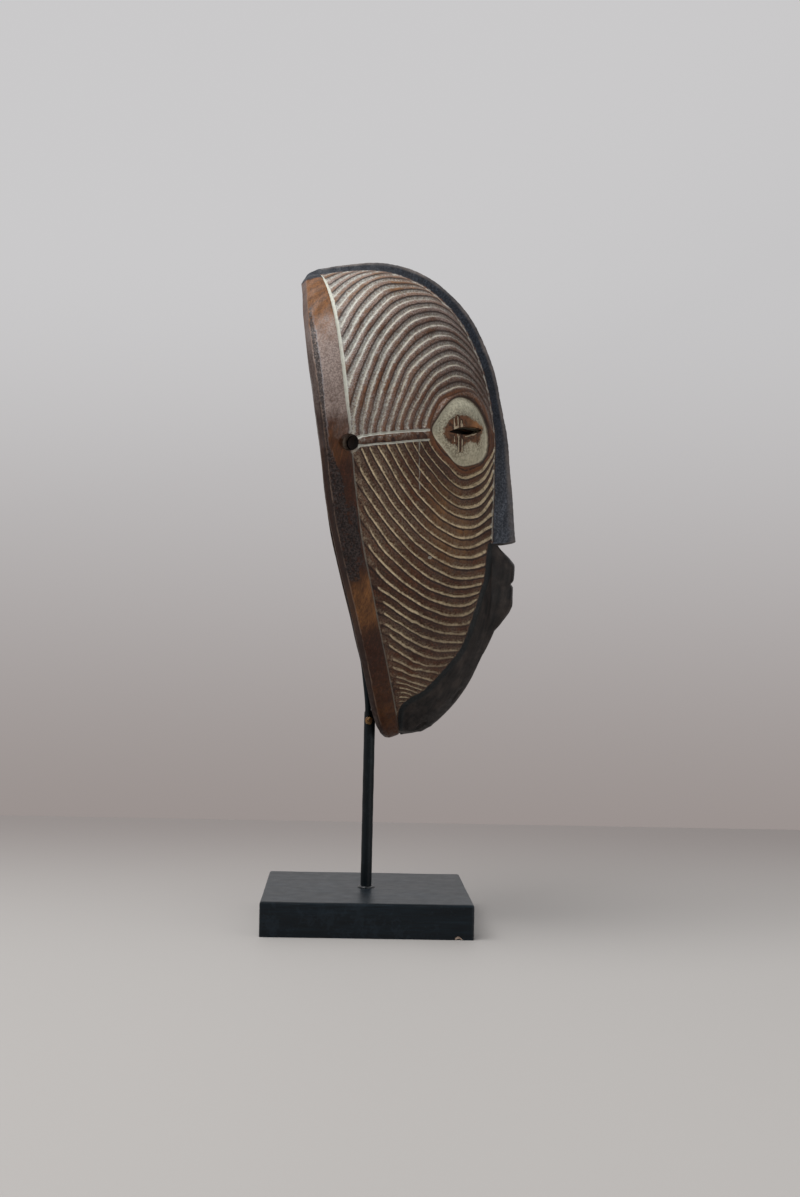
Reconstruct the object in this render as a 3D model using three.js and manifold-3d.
// A carved wooden face mask with a crest, held upright on a small stand: a square wooden base, a steel post,
// a thin steel arm brazed to the post and running up into the mask's hollow, and the bead of brazing metal.
//
// Millimetres, +Z up, the mask looks along -Y. The origin is the middle of the base's underside.

import * as THREE from 'three';
import Module from 'manifold-3d';
import { ParametricGeometry } from 'three/addons/geometries/ParametricGeometry.js';
import { mergeVertices } from 'three/addons/utils/BufferGeometryUtils.js';

// Driving dimensions of the stand

const BASE_SIDE = 100;
const BASE_HEIGHT = 16.3;
const BASE_EDGE_BREAK = 1;
const POST_DIAMETER = 5.5;
const POST_TOP = 104;
const POST_DEPTH_IN_BASE = 10;
const POST_TOP_ROUND = 1.2;
const ARM_DIAMETER = 3;
const BRAZE_CENTRE = [-4.3, 0.5, 99.2];
const BRAZE_HALF_SIZE = [1.95, 2.2, 2.3];
const GAP = 0.3;

// The arm's route, from the brazed end up into the hollow, as [x, y, z]
const ARM_ROUTE = [
  [-4.6, 0.9, 101.8],
  [-4.6, 1.1, 107],
  [-4.4, 1.9, 114.6],
  [-3.9, 3.9, 129],
  [-3.2, 6.6, 139.3],
  [-2.5, 9.0, 149.5],
  [-1.6, 14.5, 174],
  [-0.8, 17.8, 200],
  [-0.2, 17.6, 232],
  [0, 13.2, 262],
  [0, 4.8, 286],
  [0, -2.6, 298],
];

// Driving dimensions of the mask, in its own frame: across, forward and up from the back of the chin's rim.
// The mask leans back on its stand.

const LEAN = THREE.MathUtils.degToRad(11);
const MASK_PLACE = [0, -4, 91.5];
const HALF_WIDTH = 55;
const EAR_LEVEL = 145;
const LOOP_RISE = 86;
const LOOP_DROP = 145.5;
const WALL = 9.5;
const RIM_WIDTH = 9;
const CHIN_RIM_WIDTH = 6.2;

// The face's middle line below the crest, from the back of the crown over the brow to under the chin,
// as [forward, up]
const MID_LINE = [
  [10, 231],
  [35.5, 229],
  [54.5, 221.3],
  [69.5, 207],
  [79, 186.5],
  [83.3, 161],
  [82.2, 136],
  [78, 110],
  [73.2, 85],
  [70.5, 65],
  [66, 45],
  [55.5, 26.8],
  [40.5, 9.8],
  [24, -0.5],
  [11, -1.6],
];

// How the ribs fan out: the rib at a share r of the way round the rim meets the middle line
// at the share r to this power
const FAN = 1.3;

// How far forward the rim line and the back edge lie, as [height, forward]
const RIM_LINE_FORWARD = [
  [-1, 11],
  [20, 10.4],
  [60, 8.8],
  [100, 8],
  [140, 10.6],
  [180, 13.1],
  [207, 13.6],
  [222, 12.2],
  [231, 10],
];
const BACK_FORWARD = [
  [-1, 1.6],
  [4, 0],
  [12, -1.1],
  [50, -2.8],
  [105, -5.8],
  [150, -4],
  [200, -2.4],
  [222, -0.4],
  [231, 0.2],
];

// The rim's outer side: how far out of the loop each line lies, how far that changes towards the crown,
// where it lies between the back edge at 0 and the rim line at 1, and its share of the crest's height
const BAND = [
  { out: 0, crown: 0, depth: 1, crest: 1 },
  { out: 0.8, crown: 0, depth: 0.93, crest: 0.74 },
  { out: 1.6, crown: -0.4, depth: 0.45, crest: 0.3 },
  { out: 0.8, crown: -1.3, depth: 0.2, crest: 0 },
  { out: -1.8, crown: -1, depth: 0, crest: 0 },
];

// The crest, nose and lips stand on the middle line. At each height of the middle line: how far they stand
// out, their half width on top and their half width at the foot
const RIDGE = [
  [231, 3.7, 4.4, 6],
  [229, 5, 4.4, 6],
  [221, 6, 4.4, 6],
  [186, 6.2, 4.4, 6],
  [156, 5.6, 4.4, 6.2],
  [135, 6.7, 4.6, 6.8],
  [110, 9.2, 5.2, 8],
  [85, 11.3, 5.8, 9.4],
  [84.1, 2.2, 8.5, 12],
  [73.2, 9.5, 10.5, 14],
  [66.2, 8.9, 10.8, 14],
  [64.6, 7.4, 10.8, 14],
  [62.9, 8.8, 10.8, 14],
  [54.2, 8.6, 10.8, 14],
  [51.4, 7.2, 10.5, 13.5],
  [47.4, 4.2, 10, 13],
  [42.5, 1.3, 9.5, 12.5],
  [30, 0, 6, 9],
  [5, 0, 4.4, 6],
  [-2, 0, 4.4, 6],
];

// Openings carved through the mask
const EAR_HOLE_DIAMETER = 8;
const EAR_HOLE = [55, 9.5, 139.9];
const EAR_HOLE_TURN = THREE.MathUtils.degToRad(10);
const EYE_CENTRE = [63.6, 139.2];
const EYE_HALF_LENGTH = 13.5;
const EYE_HALF_HEIGHT = 16.6;
const EYE_BULGE = 3;
const SLIT_CENTRE = [67, 138.4];
const SLIT_LENGTH = 21;
const SLIT_HEIGHT = 3;
const CUT_DEPTH = 34;

// Fineness of the faceted shapes
const FACE_COLUMNS = 16;
const INNER_COLUMNS = 9;
const ROD_SIDES = 20;
const POST_TOP_STEPS = 3;
const ARM_SIDES = 8;
const ARM_STEPS = 44;

const wasm = await Module();
wasm.setup();

// Solids

function toSolid(geometry) {
  const bare = geometry.clone();
  bare.deleteAttribute('normal');
  bare.deleteAttribute('uv');
  const merged = mergeVertices(bare, 1e-4);
  const corners = merged.index.array;
  const kept = [];
  for (let i = 0; i < corners.length; i += 3) {
    const [a, b, c] = [corners[i], corners[i + 1], corners[i + 2]];
    if (a !== b && b !== c && c !== a) {
      kept.push(a, b, c);
    }
  }
  return new wasm.Manifold(
    new wasm.Mesh({
      numProp: 3,
      vertProperties: new Float32Array(merged.attributes.position.array),
      triVerts: new Uint32Array(kept),
    })
  );
}

function toGeometry(solid) {
  const mesh = solid.getMesh();
  const geometry = new THREE.BufferGeometry();
  geometry.setAttribute('position', new THREE.BufferAttribute(mesh.vertProperties, 3));
  geometry.setIndex(new THREE.BufferAttribute(mesh.triVerts, 1));
  return geometry;
}

// A smooth curve through a short table of points, each an argument followed by its value
function through(table, at, column = 1) {
  const last = table.length - 1;
  const rising = table[last][0] > table[0][0];
  const passed = (i) => (rising ? table[i][0] <= at : table[i][0] >= at);
  let i = 0;
  while (i < last - 1 && passed(i + 1)) {
    i += 1;
  }
  const slope = (k) => {
    const before = Math.max(k - 1, 0);
    const after = Math.min(k + 1, last);
    return (table[after][column] - table[before][column]) / (table[after][0] - table[before][0]);
  };
  const step = table[i + 1][0] - table[i][0];
  const t = THREE.MathUtils.clamp((at - table[i][0]) / step, 0, 1);
  const from = (2 * t ** 3 - 3 * t ** 2 + 1) * table[i][column];
  const to = (3 * t ** 2 - 2 * t ** 3) * table[i + 1][column];
  const leaving = (t ** 3 - 2 * t ** 2 + t) * step * slope(i);
  const arriving = (t ** 3 - t ** 2) * step * slope(i + 1);
  return from + to + leaving + arriving;
}

// A straight-line reading of a table whose heights fall from row to row
function between(table, height, column) {
  const last = table.length - 1;
  let i = 0;
  while (i < last - 1 && table[i + 1][0] >= height) {
    i += 1;
  }
  const t = THREE.MathUtils.clamp((table[i][0] - height) / (table[i][0] - table[i + 1][0]), 0, 1);
  return THREE.MathUtils.lerp(table[i][column], table[i + 1][column], t);
}

// The mask's main curves. A rib is named by r, its share of the way round the rim from crown to chin.

const MID_FORWARD = MID_LINE.map(([forward], i) => [i, forward]);
const MID_UP = MID_LINE.map(([, up], i) => [i, up]);
const MID_END = MID_LINE.length - 1;

function midLine(r) {
  const station = MID_END * r ** FAN;
  return new THREE.Vector2(through(MID_FORWARD, station), through(MID_UP, station));
}

function midNormal(r) {
  const step = 0.004;
  const ahead = midLine(Math.min(r + step, 1));
  const behind = midLine(Math.max(r - step, 0));
  const along = ahead.sub(behind).normalize();
  return new THREE.Vector2(-along.y, along.x);
}

// The rib that meets the middle line at a height below the brow
function ribAtHeight(height) {
  let low = 0.3;
  let high = 1;
  while (high - low > 1e-6) {
    const middle = (low + high) / 2;
    if (midLine(middle).y > height) {
      low = middle;
    } else {
      high = middle;
    }
  }
  return low;
}

// The egg-shaped loop of the rim seen from the front, moved out by a distance
function rimLoop(r, out, crown = 0) {
  const angle = Math.PI * r;
  const reach = angle < Math.PI / 2 ? LOOP_RISE + crown : LOOP_DROP;
  const x = (HALF_WIDTH + out) * Math.sin(angle);
  const up = EAR_LEVEL + (reach + out) * Math.cos(angle);
  return new THREE.Vector2(x, up);
}

// One point of the mask, across, forward and up
function point(x, forward, up) {
  return new THREE.Vector3(x, -forward, up);
}

// The face without its crest: a quarter ellipse from the rim line, at turn 0, to the middle line
function facePoint(r, turn) {
  const rim = rimLoop(r, 0);
  const rimForward = through(RIM_LINE_FORWARD, rim.y);
  const middle = midLine(r);
  const share = Math.sin(turn);
  const forward = THREE.MathUtils.lerp(rimForward, middle.x, share);
  const up = THREE.MathUtils.lerp(rim.y, middle.y, share);
  return point(rim.x * Math.cos(turn), forward, up);
}

function faceNormal(r, turn) {
  const step = 0.01;
  const alongRib = facePoint(r, turn + step).sub(facePoint(r, turn - step));
  const acrossRibs = facePoint(r + step, turn).sub(facePoint(r - step, turn));
  return alongRib.cross(acrossRibs).normalize();
}

// The eyes bulge softly inside an oval outline
function eyeBulge(spot) {
  const forward = -spot.y - EYE_CENTRE[0];
  const up = spot.z - EYE_CENTRE[1];
  const share = (forward / EYE_HALF_LENGTH) ** 2 + (up / EYE_HALF_HEIGHT) ** 2;
  return share < 1 ? EYE_BULGE * (1 - share ** 2) : 0;
}

// The crest, nose and lips: full height up to the top's half width, nothing from the foot outwards
function ridge(r, x) {
  const height = midLine(r).y;
  const top = between(RIDGE, height, 2);
  const foot = between(RIDGE, height, 3);
  const share = THREE.MathUtils.clamp((foot - x) / (foot - top), 0, 1);
  return share * between(RIDGE, height, 1);
}

function ridgedFacePoint(r, x, turn) {
  const spot = facePoint(r, turn);
  spot.x = x;
  const normal = midNormal(r);
  const rise = ridge(r, x);
  return spot.add(point(0, normal.x * rise, normal.y * rise));
}

// A rib of the mask is cut by columns: over the ridge, down the face, round the rim, and back inside

const RIDGE_SHARES = [0, 0.6, 1];
const FIRST_FACE = RIDGE_SHARES.length;
const FIRST_BAND = FIRST_FACE + FACE_COLUMNS;
const FIRST_INNER = FIRST_BAND + BAND.length;
const HALF_COLUMNS = FIRST_INNER + INNER_COLUMNS;

function turnAt(r, x) {
  const reach = rimLoop(r, 0).x;
  return reach > 0 ? Math.acos(THREE.MathUtils.clamp(x / reach, 0, 1)) : 0;
}

function outerPoint(r, column) {
  const height = midLine(r).y;
  const reach = rimLoop(r, 0).x;
  if (column < FIRST_FACE) {
    const x = Math.min(between(RIDGE, height, 2) * RIDGE_SHARES[column], reach);
    return ridgedFacePoint(r, x, turnAt(r, x));
  }
  const foot = Math.min(between(RIDGE, height, 3), reach);
  const footTurn = turnAt(r, foot);
  const turn = footTurn * (1 - (column - FIRST_FACE) / FACE_COLUMNS);
  const spot = facePoint(r, turn);
  if (column === FIRST_FACE || r < 0.02 || r > 0.98) {
    return ridgedFacePoint(r, spot.x, turn);
  }
  return spot.addScaledVector(faceNormal(r, turn), eyeBulge(spot));
}

function bandPoint(r, line) {
  const { out, crown, depth, crest } = BAND[line];
  const loop = rimLoop(r, out, crown);
  const front = through(RIM_LINE_FORWARD, rimLoop(r, 0).y);
  const back = through(BACK_FORWARD, rimLoop(r, 0).y);
  const forward = THREE.MathUtils.lerp(back, front, depth);
  const rise = r < 0.5 ? ridge(r, rimLoop(r, 0).x) * crest : 0;
  return point(loop.x, forward, loop.y + rise);
}

// The hollow follows the face at the wall's thickness. The chin's rim is narrower, to clear the post.
function innerPoint(r, column) {
  const width = THREE.MathUtils.lerp(RIM_WIDTH, CHIN_RIM_WIDTH, THREE.MathUtils.smoothstep(r, 0.7, 1));
  const edge = rimLoop(r, -width);
  const edgeForward = through(BACK_FORWARD, rimLoop(r, 0).y);
  const normal = midNormal(r);
  const deepest = midLine(r).addScaledVector(normal, -WALL);
  const turn = (Math.PI / 2) * (column / (INNER_COLUMNS - 1));
  const share = Math.sin(turn);
  const forward = THREE.MathUtils.lerp(edgeForward, deepest.x, share);
  const up = THREE.MathUtils.lerp(edge.y, deepest.y, share);
  return point(edge.x * Math.cos(turn), forward, up);
}

function ribPoint(r, column) {
  if (column < FIRST_BAND) {
    return outerPoint(r, column);
  }
  if (column < FIRST_INNER) {
    return bandPoint(r, column - FIRST_BAND);
  }
  return innerPoint(r, column - FIRST_INNER);
}

// The ribs that are drawn: where the crest's edge and foot leave the face at the crown, at every corner of
// the nose and lips, and evenly spaced ones in between
function ribPlaces() {
  const crownRib = (x) => Math.asin(x / HALF_WIDTH) / Math.PI;
  const heights = RIDGE.map(([height]) => height);
  const corners = heights.filter((height) => height < 86 && height > 42).map(ribAtHeight);
  const stops = [0, crownRib(RIDGE[0][2]), crownRib(RIDGE[0][3]), ...corners, 1];
  const widest = 0.034;
  const places = [0];
  for (let i = 1; i < stops.length; i += 1) {
    const steps = Math.ceil((stops[i] - stops[i - 1]) / widest);
    for (let k = 1; k <= steps; k += 1) {
      places.push(THREE.MathUtils.lerp(stops[i - 1], stops[i], k / steps));
    }
  }
  return places;
}

// Cutters for the openings

function cylinderAlongX(diameter, length) {
  const geometry = new THREE.CylinderGeometry(diameter / 2, diameter / 2, length, ROD_SIDES);
  geometry.rotateZ(Math.PI / 2);
  return geometry;
}

function earHoleCutter(side) {
  const geometry = cylinderAlongX(EAR_HOLE_DIAMETER, CUT_DEPTH);
  geometry.rotateZ(side * EAR_HOLE_TURN);
  geometry.translate(side * EAR_HOLE[0], -EAR_HOLE[1], EAR_HOLE[2]);
  return toSolid(geometry);
}

// A lens-shaped slit, cut straight in through the middle of the eye
function eyeSlitCutter(side) {
  const half = SLIT_LENGTH / 2;
  const bow = SLIT_HEIGHT / 2;
  const outline = new THREE.Shape();
  outline.moveTo(-half, 0);
  outline.quadraticCurveTo(0, 2 * bow, half, 0);
  outline.quadraticCurveTo(0, -2 * bow, -half, 0);
  const settings = { depth: CUT_DEPTH, bevelEnabled: false, curveSegments: 6 };
  const geometry = new THREE.ExtrudeGeometry(outline, settings);
  geometry.translate(0, 0, -CUT_DEPTH / 2);
  const rib = ribAtHeight(SLIT_CENTRE[1]);
  const rimForward = through(RIM_LINE_FORWARD, rimLoop(rib, 0).y);
  const turn = Math.asin((SLIT_CENTRE[0] - rimForward) / (midLine(rib).x - rimForward));
  const middle = facePoint(rib, turn);
  const normal = faceNormal(rib, turn);
  const up = new THREE.Vector3(0, 0, 1);
  const along = new THREE.Vector3().crossVectors(up, normal).normalize();
  const upright = new THREE.Vector3().crossVectors(normal, along);
  geometry.applyMatrix4(new THREE.Matrix4().makeBasis(along, upright, normal));
  geometry.translate(middle.x, middle.y, middle.z);
  const solid = toSolid(geometry);
  return side > 0 ? solid : solid.mirror([1, 0, 0]);
}

// Pieces

function named(name, geometry, colour, roughness, metalness) {
  const material = new THREE.MeshStandardMaterial({ color: colour, roughness, metalness });
  const mesh = new THREE.Mesh(geometry, material);
  mesh.name = name;
  return mesh;
}

function makeBase() {
  const half = BASE_SIDE / 2 - BASE_EDGE_BREAK;
  const square = new THREE.Shape();
  square.moveTo(-half, -half);
  square.lineTo(half, -half);
  square.lineTo(half, half);
  square.lineTo(-half, half);
  square.closePath();
  const block = new THREE.ExtrudeGeometry(square, {
    depth: BASE_HEIGHT,
    bevelSize: BASE_EDGE_BREAK,
    bevelThickness: BASE_EDGE_BREAK,
    bevelSegments: 1,
  });
  block.translate(0, 0, -BASE_EDGE_BREAK);
  const above = new THREE.BoxGeometry(2 * BASE_SIDE, 2 * BASE_SIDE, BASE_HEIGHT);
  above.translate(0, 0, BASE_HEIGHT / 2);
  const holeRadius = POST_DIAMETER / 2 + GAP;
  const holeDepth = POST_DEPTH_IN_BASE + GAP;
  const hole = new THREE.CylinderGeometry(holeRadius, holeRadius, 2 * holeDepth, ROD_SIDES);
  hole.rotateX(Math.PI / 2);
  hole.translate(0, 0, BASE_HEIGHT);
  const solid = toSolid(block).intersect(toSolid(above)).subtract(toSolid(hole));
  return named('base', toGeometry(solid), 0x1b1e22, 0.45, 0);
}

function makePost() {
  const radius = POST_DIAMETER / 2;
  const round = POST_TOP_ROUND;
  const foot = BASE_HEIGHT - POST_DEPTH_IN_BASE;
  const outline = [new THREE.Vector2(0, foot), new THREE.Vector2(radius, foot)];
  for (let i = 0; i <= POST_TOP_STEPS; i += 1) {
    const turn = (Math.PI / 2) * (i / POST_TOP_STEPS);
    const out = radius - round + round * Math.cos(turn);
    outline.push(new THREE.Vector2(out, POST_TOP - round + round * Math.sin(turn)));
  }
  outline.push(new THREE.Vector2(0, POST_TOP));
  const geometry = new THREE.LatheGeometry(outline, ROD_SIDES);
  geometry.rotateX(Math.PI / 2);
  return named('post', toGeometry(toSolid(geometry)), 0x15181b, 0.5, 0.4);
}

function makeArm() {
  const route = new THREE.CatmullRomCurve3(ARM_ROUTE.map(([x, y, z]) => new THREE.Vector3(x, y, z)));
  const section = new THREE.Shape();
  section.absarc(0, 0, ARM_DIAMETER / 2, 0, 2 * Math.PI);
  const geometry = new THREE.ExtrudeGeometry(section, {
    extrudePath: route,
    steps: ARM_STEPS,
    curveSegments: ARM_SIDES,
  });
  return named('arm', toGeometry(toSolid(geometry)), 0x15181b, 0.5, 0.4);
}

// The bead lies in the corner below the arm's end and hugs the post
function makeBraze() {
  const bead = new THREE.SphereGeometry(1, 14, 10);
  bead.scale(...BRAZE_HALF_SIZE);
  bead.translate(...BRAZE_CENTRE);
  const reach = 4 * BRAZE_HALF_SIZE[2];
  const post = new THREE.CylinderGeometry(POST_DIAMETER / 2 + GAP, POST_DIAMETER / 2 + GAP, reach, ROD_SIDES);
  post.rotateX(Math.PI / 2);
  post.translate(0, 0, BRAZE_CENTRE[2]);
  const [x, y, z] = ARM_ROUTE[0];
  const above = new THREE.BoxGeometry(reach, reach, reach);
  above.translate(x, y, z + reach / 2 - GAP);
  const solid = toSolid(bead).subtract(toSolid(post)).subtract(toSolid(above));
  return named('braze', toGeometry(solid), 0xb07a3a, 0.4, 0.8);
}

function makeMask() {
  const places = ribPlaces();
  const rows = places.length - 1;
  const columns = 2 * (HALF_COLUMNS - 1);
  const surface = (u, v, target) => {
    const step = columns - Math.round(u * columns);
    const mirrored = step >= HALF_COLUMNS;
    const column = mirrored ? columns - step : step;
    const spot = ribPoint(places[Math.round(v * rows)], column);
    const onMiddle = column === 0 || column === HALF_COLUMNS - 1;
    spot.x = onMiddle ? 0 : spot.x;
    target.set(mirrored ? -spot.x : spot.x, spot.y, spot.z);
  };
  let solid = toSolid(new ParametricGeometry(surface, columns, rows));
  for (const side of [1, -1]) {
    solid = solid.subtract(earHoleCutter(side)).subtract(eyeSlitCutter(side));
  }
  const mask = named('mask', toGeometry(solid), 0x6b4a36, 0.6, 0);
  mask.rotation.x = -LEAN;
  mask.position.set(...MASK_PLACE);
  return mask;
}

const group = new THREE.Group();
group.add(makeBase(), makePost(), makeArm(), makeBraze(), makeMask());

export default group;
